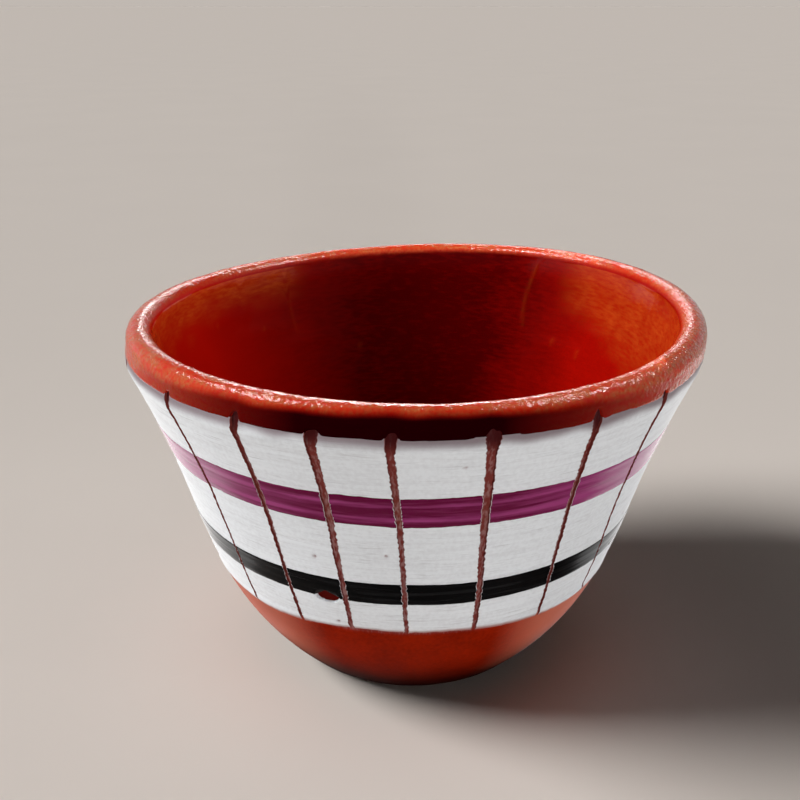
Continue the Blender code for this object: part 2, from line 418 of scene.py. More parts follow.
# Random draws for each scratched line: ragged sides, sway, width, height of its blunt top and smear
KNOT_STEP = 0.22 * MM
KNOTS = np.arange(SLIP_LOW - 2 * MM, SLIP_HIGH + 3 * MM, KNOT_STEP)
SWAY_KNOTS = np.arange(SLIP_LOW - 2 * MM, SLIP_HIGH + 8 * MM, 5 * MM)
LINE_DRAWS = np.random.default_rng(SEED_LINES)
SIDE_LEVELS = LINE_DRAWS.uniform(-1.0, 1.0, (LINE_COUNT, 2, len(KNOTS)))
SWAY_LEVELS = LINE_DRAWS.uniform(-1.0, 1.0, (LINE_COUNT, len(SWAY_KNOTS)))
WIDTH_SHARES = LINE_DRAWS.uniform(0.65, 1.1, LINE_COUNT)
WIDTH_SHARES[:len(FRONT_LINE_WIDTHS)] = FRONT_LINE_WIDTHS
WIDTH_SHARES[SIDE_LINES] = 0.5
TOP_RISES = LINE_DRAWS.uniform(0.7 * MM, 1.2 * MM, LINE_COUNT)
TOP_RISES[SIDE_LINES] = 0.1 * MM
SMEARS = LINE_DRAWS.uniform(0.0, 0.6, LINE_COUNT)
SMEARS[:len(FRONT_LINE_SMEARS)] = FRONT_LINE_SMEARS
SMEARS[SIDE_LINES] = 1.0

# How ragged the lines' sides are, how far the lines sway, and how far paint stays clear of the slip's ends
SIDE_RAGGED = 0.10 * MM
SWAY = 0.12 * MM
PAINT_INSET = 0.09 * MM


def line_middle(index, height):
    """Angle of a scratched line at a height: a straight line with a slow sway of the hand."""
    share = (height - BLACK_LOW) / (PURPLE_HIGH - BLACK_LOW)
    turn = turn_between(TOP_MIDDLES[index], FOOT_MIDDLES[index])
    sway = np.interp(height, SWAY_KNOTS, SWAY_LEVELS[index]) * SWAY
    return FOOT_MIDDLES[index] + turn * share + sway / RIM_RADIUS


def line_width(index, height):
    """Width of a scratched line: it widens upwards and ends in a blunt top."""
    cup = sizes()
    share = np.clip((height - SLIP_LOW) / (SLIP_HIGH - SLIP_LOW), 0.0, 1.0)
    width = cup.line_foot + (cup.line_top - cup.line_foot) * share ** 1.6
    blob = cup.line_blob * np.exp(-((SLIP_HIGH - height) / (1.1 * MM)) ** 2)
    return (width + blob) * WIDTH_SHARES[index]


def line_side(index, side, height):
    """Angle of one side of a scratched line, -1 for the left or 1 for the right, with its ragged edge."""
    ragged = np.interp(height, KNOTS, SIDE_LEVELS[index, (side + 1) // 2]) * SIDE_RAGGED
    half = line_width(index, height) / 2 + ragged
    return line_middle(index, height) + side * half / outside(height)[0]


def line_smear(angle, height):
    """How far slip is smeared over the clay: by each line's own share, and less towards its top."""
    smear = np.zeros(np.broadcast(angle, height).shape)
    for index in range(LINE_COUNT):
        apart = turn_between(angle, line_middle(index, height)) * RIM_RADIUS
        smear = np.maximum(smear, SMEARS[index] * np.exp(-((apart / (1.6 * MM)) ** 2)))
    return smear * (1 - 0.8 * smooth(height, 34 * MM, 44 * MM))


def panel_angles(index, height, columns, inset):
    """Angles across the stretch between two scratched lines, closer together near its ends.

    inset is how far both ends stay clear of the slip's own ends, in metres.
    """
    radius = outside(height)[0]
    following = (index + 1) % LINE_COUNT
    left = line_side(index, 1, height) + inset / radius
    right = line_side(following, -1, height) - inset / radius
    across = (right - left) % TURN
    even = np.linspace(0.0, 1.0, columns)
    share = even - 0.13 * np.sin(TURN * even)
    return left[:, None] + across[:, None] * share, left, across


def pinholes():
    """Angle, height and radius of every pinhole: those of the front, and a few drawn at random."""
    draws = np.random.default_rng(SEED_PINHOLES)
    angle = draws.uniform(math.radians(55), math.radians(305), OTHER_PINHOLES)
    height = draws.uniform(SLIP_LOW + MM, SLIP_HIGH - MM, OTHER_PINHOLES)
    radius = draws.uniform(0.10 * MM, 0.20 * MM, OTHER_PINHOLES)
    front = [(math.radians(degrees), high, wide) for degrees, high, wide in FRONT_PINHOLES]
    return front + list(zip(angle, height, radius))


def chip_mask(angle, height, spread=0.0):
    """1 inside the lens-shaped chip, widened by a spread in metres, and 0 outside it."""
    middle, level, half_length, half_height = CHIP
    radius = outside(np.array(level))[0]
    along = turn_between(angle, middle) * radius / (half_length + spread)
    up = (height - level) / (half_height + spread)
    return 1 - smooth(along ** 2 + up ** 2, 0.85, 1.1)


def pit_mask(angle, height):
    """1 in the middle of a pinhole, falling to 0 outside it."""
    radius = outside(height)[0]
    mask = np.zeros(np.broadcast(angle, height).shape)
    for middle, level, wide in pinholes():
        apart = np.hypot(turn_between(angle, middle) * radius, height - level)
        mask = np.maximum(mask, np.exp(-((apart / wide) ** 2)))
    return mask


def clay_depth(height):
    """Depth of the clay under the finished outside: at the surface round the foot, sunk under the slip."""
    return 0.03 * MM + sizes().slip * smooth(height, SLIP_LOW - 0.4 * MM, SLIP_LOW + 1.2 * MM)


def slip_foot(angle):
    """Height of the slip's lower edge, which wanders as the brush did and dips at both sides."""
    slow = lumps(angle, 0.0, 9 * MM, MM, SEED_EDGES)
    quick = lumps(angle, 0.0, 0.7 * MM, MM, SEED_EDGES + 1)
    dip = 0.7 * MM * smooth(np.abs(np.sin(angle)), 0.1, 0.75)
    return SLIP_LOW + 0.2 * MM - dip + 0.16 * MM * slow + 0.05 * MM * quick


def glaze_foot(angle):
    """Height of the red glaze's lower edge: a wandering line, notched where each scratched line starts."""
    slow = lumps(angle, 0.0, 8 * MM, MM, SEED_EDGES + 2)
    quick = lumps(angle, 0.0, 0.9 * MM, MM, SEED_EDGES + 3)
    edge = SLIP_HIGH + 0.12 * MM * slow + 0.04 * MM * quick
    wider = 0.52 + 0.16 * lumps(angle, 0.0, 0.8 * MM, MM, SEED_EDGES + 4)
    taller = 1 + 0.35 * lumps(angle, 0.0, 0.5 * MM, MM, SEED_EDGES + 5)
    top = np.array(SLIP_HIGH)
    for index in range(LINE_COUNT):
        apart = turn_between(angle, line_middle(index, top)) * RIM_RADIUS
        half = line_width(index, top) * wider
        edge = edge + TOP_RISES[index] * taller * np.exp(-((apart / half) ** 4))
    return edge


def slip_depth(angle, height, from_end):
    """Depth of the slip's surface.

    The slip lies on the clay at its own thickness and thins out over the last millimetre of its foot. Brush
    ridges run round it, a burr stands along each scratched line, and the chip and pinholes are sunk in.
    """
    thickness = sizes().slip * smooth(height - slip_foot(angle), 0.0, 1.1 * MM)
    ridges = 0.016 * MM * lumps(angle, height, 15 * MM, 0.55 * MM, SEED_BRUSH)
    ridges = ridges + 0.010 * MM * lumps(angle, height, 7 * MM, 0.26 * MM, SEED_BRUSH + 1)
    uneven = 0.03 * MM * lumps(angle, height, 8 * MM, 4 * MM, SEED_BRUSH + 2)
    burr = 0.5 + 0.5 * lumps(angle, height, 0.6 * MM, 0.5 * MM, SEED_BRUSH + 3)
    burr = 0.04 * MM * burr * np.exp(-((from_end / (0.13 * MM)) ** 2))
    sunk = 0.55 * MM * chip_mask(angle, height) + 0.18 * MM * pit_mask(angle, height)
    return clay_depth(height) - thickness + ridges + uneven - burr + sunk


def grid_faces(rows, columns, closed_columns):
    """Corner numbers of the four-sided faces of a grid, whose columns may close into a ring."""
    row, column = np.meshgrid(np.arange(rows - 1), np.arange(columns - (not closed_columns)), indexing="ij")
    after = (column + 1) % columns
    below = row * columns
    above = below + columns
    corners = (below + column, below + after, above + after, above + column)
    return np.stack(corners, axis=-1).reshape(-1, 4)


def add_piece(name, points, faces, material, replaced, marks):
    """A finished piece at the origin, riding on the cup, with its named marks as point attributes."""
    mesh = bpy.data.meshes.new(name)
    mesh.from_pydata(points, [], faces)
    if mesh.validate():
        raise RuntimeError(f"{name} has faces that can't be kept")
    mesh.shade_smooth()
    mesh.set_sharp_from_angle(angle=math.radians(55))
    mesh.materials.append(material)
    for mark, values in marks.items():
        attribute = mesh.attributes.new(mark, "FLOAT", "POINT")
        attribute.data.foreach_set("value", np.ascontiguousarray(values, dtype=np.float32).ravel())
    piece = bpy.data.objects.new(name, mesh)
    bpy.context.collection.objects.link(piece)
    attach(piece, "root")
    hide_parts(replaced)
    return piece


def turned_piece(name, points, material, replaced, marks):
    """A closed skin turned round the axis from a grid of rows, whose first and last row shrink to poles."""
    rows, columns = points.shape[:2]
    flat = points[1:-1].reshape(-1, 3)
    poles = points[[0, -1], 0]
    first = np.full(columns, len(flat))
    start = np.arange(columns)
    after = (start + 1) % columns
    end_row = (rows - 3) * columns
    first_fan = np.stack((first, after, start), axis=-1)
    last_fan = np.stack((first + 1, end_row + start, end_row + after), axis=-1)
    faces = grid_faces(rows - 2, columns, True).tolist() + first_fan.tolist() + last_fan.tolist()
    everything = np.concatenate((flat, poles))
    kept = {
        mark: np.concatenate((values[1:-1].ravel(), values[[0, -1], 0])) for mark, values in marks.items()
    }
    return add_piece(name, everything.tolist(), faces, material, replaced, kept)


def coat_piece(name, outer, under, material, replaced, marks):
    """A thin closed coat from the grid of its outer face and a coarser grid of its under face."""
    ring = np.concatenate((outer, under[:, ::-1]), axis=1)
    rows, columns = ring.shape[:2]
    faces = grid_faces(rows, columns, True).tolist()
    faces.append(list(range(columns))[::-1])
    faces.append(list(range((rows - 1) * columns, rows * columns)))
    hidden = under.shape[1]
    kept = {
        mark: np.concatenate((values, np.repeat(values[:, -1:], hidden, axis=1)), axis=1)
        for mark, values in marks.items()
    }
    return add_piece(name, ring.reshape(-1, 3).tolist(), faces, material, replaced, kept)


def add_node(tree, kind, inputs, output=0, **settings):
    """One output of a new shader node, with each input linked from a socket or set to a value."""
    node = tree.nodes.new("ShaderNode" + kind)
    for name, value in settings.items():
        setattr(node, name, value)
    for name, value in inputs.items():
        if isinstance(value, bpy.types.NodeSocket):
            tree.links.new(value, node.inputs[name])
        else:
            node.inputs[name].default_value = value
    return node.outputs[output]


def start_material(name, roughness, ior):
    """A material with its tree, its shader and the Object coordinates of the piece.

    The patterns below are scaled in patches per metre: 1 / (0.5 * MM) gives patches half a millimetre wide,
    and 0.6 / MM gives six of them in ten millimetres.
    """
    material = bpy.data.materials.new(name)
    material.use_nodes = True
    tree = material.node_tree
    shader = tree.nodes["Principled BSDF"]
    shader.inputs["Roughness"].default_value = roughness
    shader.inputs["IOR"].default_value = ior
    place = add_node(tree, "TexCoord", {}, "Object")
    return material, tree, shader, place


def stained(tree, body, stains):
    """A body colour under stains laid on in order, each as strongly as the piece's mark of that name."""
    for mark, stain in stains.items():
        share = add_node(tree, "Attribute", {}, "Fac", attribute_name=mark)
        body = add_node(tree, "Mix", {0: share, 6: body, 7: stain}, 2, data_type="RGBA")
    return body


def glazed_earthenware():
    """Fired red clay under thin clear glaze: warm, fine-grained, with slip smeared into the scratches."""
    tint = colours()
    material, tree, shader, place = start_material("glazed_red_earthenware", 0.55, 1.07)
    patches = add_node(tree, "TexNoise", {"Vector": place, "Scale": 1 / (5 * MM), "Detail": 2.0})
    grain = add_node(tree, "TexNoise", {"Vector": place, "Scale": 1 / (0.5 * MM), "Detail": 3.0})
    both = add_node(tree, "Math", {0: patches, 1: grain}, operation="ADD")
    share = add_node(tree, "MapRange", {"Value": both, "From Min": 0.4, "From Max": 1.2})
    body = add_node(tree, "Mix", {0: share, 6: tint["clay_dark"], 7: tint["clay"]}, 2, data_type="RGBA")
    drawn = add_node(tree, "Mapping", {"Vector": place, "Scale": (3 / MM, 3 / MM, 0.5 / MM)})
    smears = add_node(tree, "TexNoise", {"Vector": drawn, "Scale": 1.0, "Detail": 2.0})
    limits = {"From Min": 0.4, "From Max": 0.65, "To Min": -0.25, "To Max": 0.3}
    uneven = add_node(tree, "MapRange", {"Value": smears, **limits})
    smeared = add_node(tree, "Attribute", {}, "Fac", attribute_name="smeared")
    smear = add_node(tree, "Math", {0: smeared, 1: uneven}, operation="ADD", use_clamp=True)
    shades = {6: tint["scratch"], 7: tint["scratch_smear"]}
    drag = add_node(tree, "Mix", {0: smear, **shades}, 2, data_type="RGBA")
    cut = stained(tree, drag, {"blunt": tint["scratch_dark"]})
    # low lays painted shade round the foot
    # pale lays painted sheen at the foot's sides
    stains = {"pale": tint["clay_pale"], "low": tint["clay_low"], "scratched": cut, "chipped": tint["chip"]}
    bump = add_node(tree, "Bump", {"Height": grain, "Distance": 0.03 * MM, "Strength": 0.4})
    tree.links.new(stained(tree, body, stains), shader.inputs["Base Color"])
    tree.links.new(bump, shader.inputs["Normal"])
    return material


def iron_glaze():
    """Glossy red iron glaze: orange-red, deep red where thick, darker still inside and near black below the
    lip with painted shade.
    """
    tint = colours()
    material, tree, shader, place = start_material("glossy_red_iron_glaze", 0.12, 1.3)
    mottle = add_node(tree, "TexNoise", {"Vector": place, "Scale": 1 / (0.45 * MM), "Detail": 5.0})
    drawn = add_node(tree, "Mapping", {"Vector": place, "Scale": (0.6 / MM, 0.6 / MM, 1 / (0.4 * MM))})
    streaks = add_node(tree, "TexNoise", {"Vector": drawn, "Scale": 1.0, "Detail": 5.0})
    body = tint["glaze"]
    stains = (
        ("shade_and_pooling", "glaze_shade_and_pooling", streaks, 0.05),
        ("thin", "glaze_thin_and_painted_light", streaks, 0.45),
        ("worn", "glaze_worn", mottle, 0.5),
        ("dark_band_and_shade", "glaze_dark_band_and_shade", mottle, 0.0),
    )
    for mark, shade, pattern, ragged in stains:
        given = add_node(tree, "Attribute", {}, "Fac", attribute_name=mark)
        limits = {"From Min": 0.35, "From Max": 0.65, "To Min": 1 - ragged, "To Max": 1 + ragged}
        uneven = add_node(tree, "MapRange", {"Value": pattern, **limits})
        share = add_node(tree, "Math", {0: given, 1: uneven}, operation="MULTIPLY", use_clamp=True)
        body = add_node(tree, "Mix", {0: share, 6: body, 7: tint[shade]}, 2, data_type="RGBA")
    skin = add_node(tree, "TexNoise", {"Vector": place, "Scale": 1 / (0.50 * MM), "Detail": 2.0})
    worn = add_node(tree, "Attribute", {}, "Fac", attribute_name="worn")
    rough = add_node(tree, "MapRange", {"Value": worn, "To Min": 0.06, "To Max": 1.0})
    bump = add_node(tree, "Bump", {"Height": skin, "Distance": 0.24 * MM, "Strength": rough})
    shine = add_node(tree, "Attribute", {}, "Fac", attribute_name="shine")
    tree.links.new(body, shader.inputs["Base Color"])
    tree.links.new(shine, shader.inputs["Specular IOR Level"])
    tree.links.new(bump, shader.inputs["Normal"])
    return material


def brushed_slip():
    """White clay slip under clear glaze: fine-grained, with brush shades and hair lines that run round it.

    Clay shows where it is thin or cut, and its top darkens under the lip, partly thin slip and partly
    painted shade.
    """
    tint = colours()
    material, tree, shader, place = start_material("brushed_white_slip", 0.34, 1.08)
    broad = add_node(tree, "Mapping", {"Vector": place, "Scale": (0.09 / MM, 0.09 / MM, 1 / (0.45 * MM))})
    strokes = add_node(tree, "TexNoise", {"Vector": broad, "Scale": 1.0, "Detail": 4.0})
    grain = add_node(tree, "TexNoise", {"Vector": place, "Scale": 1 / (0.5 * MM), "Detail": 5.0})
    both = add_node(tree, "Math", {0: strokes, 1: grain}, operation="ADD")
    share = add_node(tree, "MapRange", {"Value": both, "From Min": 0.75, "From Max": 1.15})
    body = add_node(tree, "Mix", {0: share, 6: tint["slip_shade"], 7: tint["slip"]}, 2, data_type="RGBA")
    fine = add_node(tree, "Mapping", {"Vector": place, "Scale": (0.26 / MM, 0.26 / MM, 1 / (0.16 * MM))})
    hairs = add_node(tree, "TexNoise", {"Vector": fine, "Scale": 1.0, "Detail": 2.0})
    limits = {"From Min": 0.6, "From Max": 0.76, "To Min": 0.0, "To Max": 0.5}
    line = add_node(tree, "MapRange", {"Value": hairs, **limits})
    body = add_node(tree, "Mix", {0: line, 6: body, 7: tint["slip_line"]}, 2, data_type="RGBA")
    stains = {"thin": tint["slip_thin"], "thin_top_and_shade": tint["slip_grime"], "bare": tint["scratch"]}
    bump = add_node(tree, "Bump", {"Height": grain, "Distance": 0.03 * MM, "Strength": 0.4})
    tree.links.new(stained(tree, body, stains), shader.inputs["Base Color"])
    tree.links.new(bump, shader.inputs["Normal"])
    return material


def purple_underglaze():
    """Brushed purple underglaze: streaks run along the brush's path, dark at its edges, thin between, and
    pale towards the cup's sides as painted sheen.
    """
    tint = colours()
    material, tree, shader, place = start_material("purple_underglaze", 0.25, 1.17)
    drawn = add_node(tree, "Mapping", {"Vector": place, "Scale": (0.14 / MM, 0.14 / MM, 1 / (0.35 * MM))})
    hairs = add_node(tree, "TexNoise", {"Vector": drawn, "Scale": 1.0, "Detail": 6.0})
    stroke_and_sheen = add_node(tree, "Attribute", {}, "Fac", attribute_name="stroke_and_sheen")
    both = add_node(tree, "Math", {0: stroke_and_sheen, 1: hairs}, operation="ADD")
    share = add_node(tree, "MapRange", {"Value": both, "From Min": 0.5, "From Max": 1.05})
    shades = {6: tint["purple"], 7: tint["purple_light"]}
    body = add_node(tree, "Mix", {0: share, **shades}, 2, data_type="RGBA")
    tree.links.new(body, shader.inputs["Base Color"])
    return material


def black_underglaze():
    """Brushed black underglaze: dense, glossy, a little thin along its hairs."""
    tint = colours()
    material, tree, shader, place = start_material("black_underglaze", 0.20, 1.10)
    drawn = add_node(tree, "Mapping", {"Vector": place, "Scale": (0.11 / MM, 0.11 / MM, 1 / (0.5 * MM))})
    hairs = add_node(tree, "TexNoise", {"Vector": drawn, "Scale": 1.0, "Detail": 3.0})
    limits = {"From Min": 0.5, "From Max": 0.8, "To Min": 0.0, "To Max": 0.015}
    share = add_node(tree, "MapRange", {"Value": hairs, **limits})
    body = add_node(tree, "Mix", {0: share, 6: tint["black"], 7: tint["slip_shade"]}, 2, data_type="RGBA")
    tree.links.new(body, shader.inputs["Base Color"])
    return material


def table_top():
    """Pale matt table top with a faint cloudiness."""
    tint = colours()
    material, tree, shader, place = start_material("pale_matt_table", 0.9, 1.0)
    clouds = add_node(tree, "TexNoise", {"Vector": place, "Scale": 1 / (60 * MM), "Detail": 3.0})
    paler = tuple(min(1.0, 1.04 * channel) for channel in tint["table"])
    body = add_node(tree, "Mix", {0: clouds, 6: tint["table"], 7: paler}, 2, data_type="RGBA")
    tree.links.new(body, shader.inputs["Base Color"])
    return material


class CUP_OT_clay_body(bpy.types.Operator):
    """The thrown clay: foot, wall and floor, bare round the foot and in the scratched lines"""

    bl_idname = "cup.clay_body"
    bl_label = "Clay body"

    def execute(self, context):
        """One turned skin: flat foot, round edge, outer wall, lip, inner wall and floor."""
        cup = sizes()
        angle = np.linspace(0.0, TURN, CLAY_COLUMNS, endpoint=False)
        flat_radius = np.linspace(0.0, cup.foot_radius, 8)[:-1]
        bend = np.linspace(0.0, FOOT_WALL_ANGLE, 12)
        edge_radius = cup.foot_radius + cup.foot_edge * np.sin(bend)
        edge_height = cup.foot_edge * (1 - np.cos(bend))
        wall_height = np.linspace(foot_edge_top(), SLIP_HIGH + 1.5 * MM, CLAY_WALL_ROWS)[1:]
        wall_radius = radius_under(wall_height, clay_depth(wall_height))
        seat = cup.glaze + 0.1 * MM
        lip_radius, lip_top = lip_section(np.linspace(0.0, math.pi, 9), seat)
        inner_radius, inner_height = inner_section(seat, 16, 8)
        radius = np.concatenate((flat_radius, edge_radius, wall_radius, lip_radius, inner_radius[1:]))
        height = np.concatenate(
            (np.zeros_like(flat_radius), edge_height, wall_height, lip_top, inner_height[1:])
        )
        rows = len(radius)
        around = np.broadcast_to(angle, (rows, CLAY_COLUMNS))
        up = np.broadcast_to(height[:, None], (rows, CLAY_COLUMNS))
        outer = np.zeros((rows, 1))
        first = len(flat_radius) + len(edge_radius)
        outer[first:first + len(wall_radius)] = 1.0
        throwing = 0.035 * MM * lumps(around + up / (40 * MM), up, 40 * MM, 1.6 * MM, SEED_CLAY)
        grain = 0.012 * MM * lumps(around, up, 1.2 * MM, 0.8 * MM, SEED_CLAY + 1)
        grid_radius = radius[:, None] + outer * (throwing + grain) * smooth(up, 2 * MM, 5 * MM)
        points = round_cup(around, grid_radius, up)
        scratched = smooth(up, SLIP_LOW - 0.2 * MM, SLIP_LOW + 0.6 * MM)
        # Painted shade: the clay darkens towards the table, where the contact shadow falls under the foot
        low = 1 - smooth(up, 2.0 * MM, 12.5 * MM)
        # Painted sheen: the clay is made paler at both sides of the foot, more at +X, in patches
        patchy = 1 + 0.3 * lumps(around, up, 9 * MM, 6 * MM, SEED_CLAY + 2)
        most = 0.72 + 0.13 * smooth(np.sin(around), 0.0, 0.4)
        pale = most * patchy * smooth(np.abs(np.sin(around)), 0.36, 0.66)
        blunt = 0.9 * smooth(up, SLIP_HIGH - 2.5 * MM, SLIP_HIGH)
        marks = {
            "scratched": scratched,
            "low": low,
            "pale": pale,
            "smeared": line_smear(around, up),
            "blunt": blunt,
            "chipped": chip_mask(around, up, CHIP_SURROUND),
        }
        turned_piece("thrown_clay", points, glazed_earthenware(), "clay_body", marks)
        return {"FINISHED"}


def inner_section(depth, wall_rows, floor_rows):
    """Radius and height down the inner wall and over the rounded floor to the axis, at a depth under it.

    Up to the waist the wall keeps its thickness to the outside, and from there one cubic runs into the
    round of the lip. The round between wall and floor follows a superellipse.
    """
    cup = sizes()
    floor_edge = cup.floor + cup.floor_rounding
    inset = cup.wall - depth
    top_radius, top = lip_section(LIP_INNER_TURN, 0.0)
    drop = np.linspace(0.0, 1.0, wall_rows) ** 1.5
    height = top - (top - floor_edge) * drop
    radius = radius_under(height, inset)
    waist_radius = cup.waist_radius - inset * math.hypot(1.0, WAIST_SLOPE)
    waist = (cup.waist_height, waist_radius, WAIST_SLOPE)
    upper = cubic(height, waist, (top, top_radius + depth, LIP_INNER_SLOPE))[0]
    radius = np.where(height > cup.waist_height, upper, radius)
    bend = np.linspace(math.pi / 2, 0.0, floor_rows)[1:]
    power = 2 / FLOOR_SQUARENESS
    floor_height = floor_edge - (cup.floor_rounding + depth) * np.cos(bend) ** power
    floor_radius = radius_under(floor_height, inset) * np.sin(bend) ** power
    floor_radius[-1] = 0.0
    floor_height[-1] = cup.floor - depth
    return np.concatenate((radius, floor_radius)), np.concatenate((height, floor_height))


class CUP_OT_glaze_lining(bpy.types.Operator):
    """The red glaze over the inside and the lip, down to the slip"""

    bl_idname = "cup.glaze_lining"
    bl_label = "Red glaze lining"

    def execute(self, context):
        """One turned skin: the under face out from the axis, then the shining face back to it."""
        even = np.linspace(0.0, TURN, LINING_COLUMNS, endpoint=False)
        near = np.linspace(-1.0, 1.0, NOTCH_COLUMNS) * NOTCH_REACH / RIM_RADIUS
        slip_top = np.array(SLIP_HIGH)
        tops = np.array([line_middle(index, slip_top) for index in range(LINE_COUNT)])[:, None]
        clear = np.abs(turn_between(even, tops)).min(axis=0) > NOTCH_CLEAR / RIM_RADIUS
        angle = np.sort(np.concatenate((even[clear], (tops + near).ravel() % TURN)))
        edge = glaze_foot(angle)
        share = np.linspace(0.0, 1.0, 14)[:, None] ** 1.4
        band_height = edge + (lip_height() - edge) * share
        roll = 0.16 * MM * np.exp(-(band_height - edge) / (0.10 * MM)) - 0.03 * MM
        band_radius = radius_under(band_height, roll)
        arc = np.linspace(0.0, LIP_INNER_TURN, 26)[1:]
        lip_radius, lip_up = lip_section(arc, 0.0)
        inner_radius, inner_height = inner_section(0.0, LINING_WALL_ROWS, 22)
        face_radius = np.concatenate((lip_radius, inner_radius[1:]))[:, None] + 0.0 * angle
        face_height = np.concatenate((lip_up, inner_height[1:]))[:, None] + 0.0 * angle
        face_radius = np.concatenate((band_radius, face_radius))
        face_height = np.concatenate((band_height, face_height))
        rows = len(face_radius)
        run_radius = np.gradient(face_radius, axis=0)
        run_height = np.gradient(face_height, axis=0)
        run = np.hypot(run_radius, run_height) + 1e-9
        around = np.broadcast_to(angle, (rows, len(angle)))
        inside = np.zeros((rows, 1))
        inside[len(band_height) + len(lip_radius):] = 1.0
        along = np.cumsum(run, axis=0)
        rise = self.relief(around, face_height, along, inside)
        rise = rise * smooth(np.arange(rows)[:, None], 0.0, 3.0) * smooth(face_radius, 0.0, 4 * MM)
        face_radius = face_radius + rise * run_height / run
        face_height = face_height - rise * run_radius / run
        under_radius, under_height = self.under_face(angle, edge)
        radius = np.concatenate((under_radius, face_radius))
        height = np.concatenate((under_height, face_height))
        around = np.broadcast_to(angle, radius.shape)
        points = round_cup(around, radius, height)
        hidden = np.zeros_like(under_radius)
        past_lip = np.full(len(inner_radius) - 1, math.pi)
        turned = np.concatenate((np.zeros(len(band_height)), arc, past_lip))[:, None]
        dark_band_and_shade = self.dark_band_and_shade_share(angle, face_height, inside)
        inner = smooth(turned, LIP_INNER_START, LIP_INNER_TURN)
        marks = {
            "shade_and_pooling": np.concatenate((hidden, self.shade_and_pooling_share(angle, face_height, inner))),
            "thin": np.concatenate((hidden, self.thinning_and_painted_light(angle, face_height, along, inside))),
            "worn": np.concatenate((hidden, self.wear(angle, along, inner) * (1 - dark_band_and_shade))),
            "dark_band_and_shade": np.concatenate((hidden, dark_band_and_shade)),
            "shine": np.concatenate((hidden, self.shining(angle, face_height, turned, dark_band_and_shade))),
        }
        turned_piece("glaze_lining", points, iron_glaze(), "red_glaze_lining", marks)
        return {"FINISHED"}

    def relief(self, angle, height, along, inside):
        """How far the glaze stands out: lumps over the lip, throwing rings and runs on the inner wall."""
        lip = 0.03 * MM * lumps(angle, along, 3.0 * MM, 1.5 * MM, SEED_GLAZE)
        lip = lip + 0.025 * MM * lumps(angle, along, 1.2 * MM, 0.9 * MM, SEED_GLAZE + 1)
        lip = lip + 0.020 * MM * lumps(angle, along, 7 * MM, 0.5 * MM, SEED_GLAZE + 8)
        rings = 0.018 * MM * np.sin(TURN * height / (3.1 * MM) + angle)
        rings = rings + 0.05 * MM * lumps(angle, along, 5 * MM, 3 * MM, SEED_GLAZE + 2)
        runs = 0.05 * MM * self.runs(angle, height)
        specks = 0.10 * MM * self.specks(angle, height)
        return lip * (1 - 0.5 * inside) + inside * (rings + runs + specks)

    def runs(self, angle, height):
        """1 on the runs of glaze down the inner wall, which sway a little, and 0 beside them."""
        mask = np.zeros(np.broadcast(angle, height).shape)
        top = lip_height()
        for degrees, low, half in GLAZE_RUNS:
            sway = math.radians(0.8) * np.sin((height - low) / (2.1 * MM))
            apart = turn_between(angle, math.radians(degrees) + sway) * RIM_RADIUS / half
            ends = smooth(height, low - 0.8 * MM, low + 0.8 * MM) * (1 - smooth(height, top - MM, top))
            mask = np.maximum(mask, np.exp(-(apart ** 2)) * ends)
        return mask

    def specks(self, angle, height):
        """1 in the middle of each speck on the inner wall, falling to 0 round it."""
        mask = np.zeros(np.broadcast(angle, height).shape)
        for degrees, level, wide in GLAZE_SPECKS:
            apart = np.hypot(turn_between(angle, math.radians(degrees)) * RIM_RADIUS, height - level)
            mask = np.maximum(mask, np.exp(-((apart / wide) ** 2)))
        return mask

    def shade_and_pooling_share(self, angle, height, inside):
        """Painted shade and thick glaze inside, from 0 to 1: most at front and back, none at -X, some at
        +X.
        """
        uneven = 0.03 * lumps(angle, height, 6 * MM, 3 * MM, SEED_GLAZE + 9)
        wide = np.abs(np.cos(angle - GLAZE_MIDDLE)) + uneven
        thick = np.clip((wide - 0.2) / 0.78, 0.0, 1.0)
        return inside * np.maximum(0.55 * smooth(np.sin(angle), -0.2, 0.6), thick)

    def thinning_and_painted_light(self, angle, height, along, inside):
        """How pale the glaze is, from 0 to 1: painted light high on the inner flanks, and thin glaze on the
        runs and specks.
        """
        wide = np.abs(np.cos(angle - GLAZE_MIDDLE))
        right = smooth(np.sin(angle), -0.3, 0.5)
        # Painted light: the upper inner flanks are made paler, less at +X
        foot = 43 * MM - 1.5 * MM * right - 4 * MM * smooth(np.sin(angle), 0.8, 0.97)
        foot = foot + 1.3 * MM * lumps(angle, along, 4.0 * MM, 1.3 * MM, SEED_GLAZE + 4)
        patches = 1 + 0.35 * lumps(angle, along, 3.5 * MM, 1.0 * MM, SEED_GLAZE + 11)
        most = (0.30 - 0.12 * right) * patches
        sides = most * smooth(height - foot, -1.5 * MM, 5.0 * MM) * (1 - smooth(wide, 0.66, 0.82))
        marked = np.maximum(0.05 * self.runs(angle, height), 0.12 * self.specks(angle, height))
        return inside * np.maximum(sides, marked)

    def shining(self, angle, height, turned, dark_band_and_shade):
        """How strongly the glaze shines: most on the lip, little deep inside, and not on the dark band
        below the lip.

        turned is the angle round the lip, from its outer side to the inner wall. The outer side is dull
        towards the back, and the inner side on both flanks.
        """
        deep = INNER_SHINE + (LIP_SHINE - INNER_SHINE) * smooth(height, 46 * MM, 48.5 * MM)
        outer = 1 - smooth(turned, math.radians(100), LIP_INNER_START)
        dull = 0.9 * outer * smooth(-np.cos(angle), -0.1, 0.5)
        flanks = smooth(np.abs(np.sin(angle)), 0.75, 0.95)
        dull = np.maximum(dull, 0.85 * flanks * smooth(turned, math.radians(95), math.radians(115)))
        return np.where(turned >= math.pi, deep, LIP_SHINE * (1 - dark_band_and_shade) * (1 - dull))

